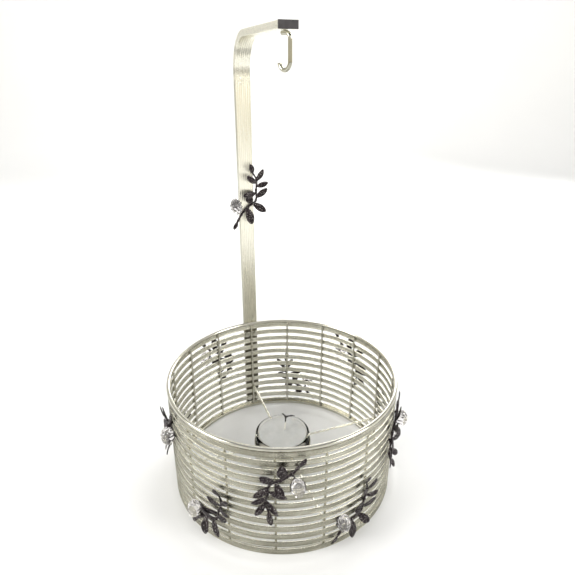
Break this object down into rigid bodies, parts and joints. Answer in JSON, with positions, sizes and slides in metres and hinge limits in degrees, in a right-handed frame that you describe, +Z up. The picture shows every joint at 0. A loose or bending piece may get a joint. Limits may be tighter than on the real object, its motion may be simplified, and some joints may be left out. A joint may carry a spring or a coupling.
{
  "type": "sanctuary lamp",
  "caption": "Standing sanctuary lamp: banded silver basket with olive sprigs and beads, a raised glass candle cup, and a bent tube post with a turning hook.",
  "frame": {"origin": "middle of the flat underside of the base hoop, on the table", "axes": "+Z up, post at +Y at the back, arm reaches towards -Y"},
  "size_m": [0.2185, 0.2161, 0.3787],
  "materials": {
    "silver": "silver-plated steel, polished",
    "hammered_silver": "silver-plated strip with a fine knurled texture",
    "brushed_silver": "silver-plated tube, brushed lengthwise",
    "gunmetal": "cast sprig, blackened, softly shiny",
    "crystal": "cut crystal",
    "clear_glass": "clear",
    "wax": "candle wax, matte plastic stands in",
    "wick_cotton": "waxed cotton",
    "wick_char": "charred cotton",
    "black_plastic": "satin black"
  },
  "bodies": {
    "basket": {"wall_bands": "hammered_silver", "rim_wire": "silver", "ribs": "silver", "base_hoop": "silver", "spokes": "silver", "cup_holder": "silver", "post_tube": "brushed_silver", "post_screws": "silver", "end_plug": "black_plastic", "sprig_1": "gunmetal", "sprig_2": "gunmetal", "sprig_3": "gunmetal", "sprig_4": "gunmetal", "sprig_5": "gunmetal", "sprig_6": "gunmetal", "sprig_7": "gunmetal", "sprig_8": "gunmetal", "sprig_9": "gunmetal", "sprig_10": "gunmetal", "post_sprig": "gunmetal", "bead_1": "crystal", "bead_2": "crystal", "bead_3": "crystal", "bead_4": "crystal", "bead_5": "crystal", "bead_6": "crystal", "bead_7": "crystal", "bead_8": "crystal", "bead_9": "crystal", "bead_10": "crystal", "post_bead": "crystal"},
    "cup": {"glass_cup": "clear_glass"},
    "candle": {"candle": "wax", "wick": "wick_cotton", "wick_tip": "wick_char"},
    "hook": {"hook_pin": "silver", "hook": "silver"}
  },
  "joints": [
    {"name": "cup_lift", "type": "slide", "parent": "basket", "child": "cup", "axis": [0, 0, 1], "range_m": [0, 0.12]},
    {"name": "candle_lift", "type": "slide", "parent": "cup", "child": "candle", "axis": [0, 0, 1], "range_m": [0, 0.06]},
    {"name": "hook_turn", "type": "hinge", "parent": "basket", "child": "hook", "pos_m": [0, -0.0085, 0.3733], "axis": [0, 0, 1], "continuous": true}
  ]
}
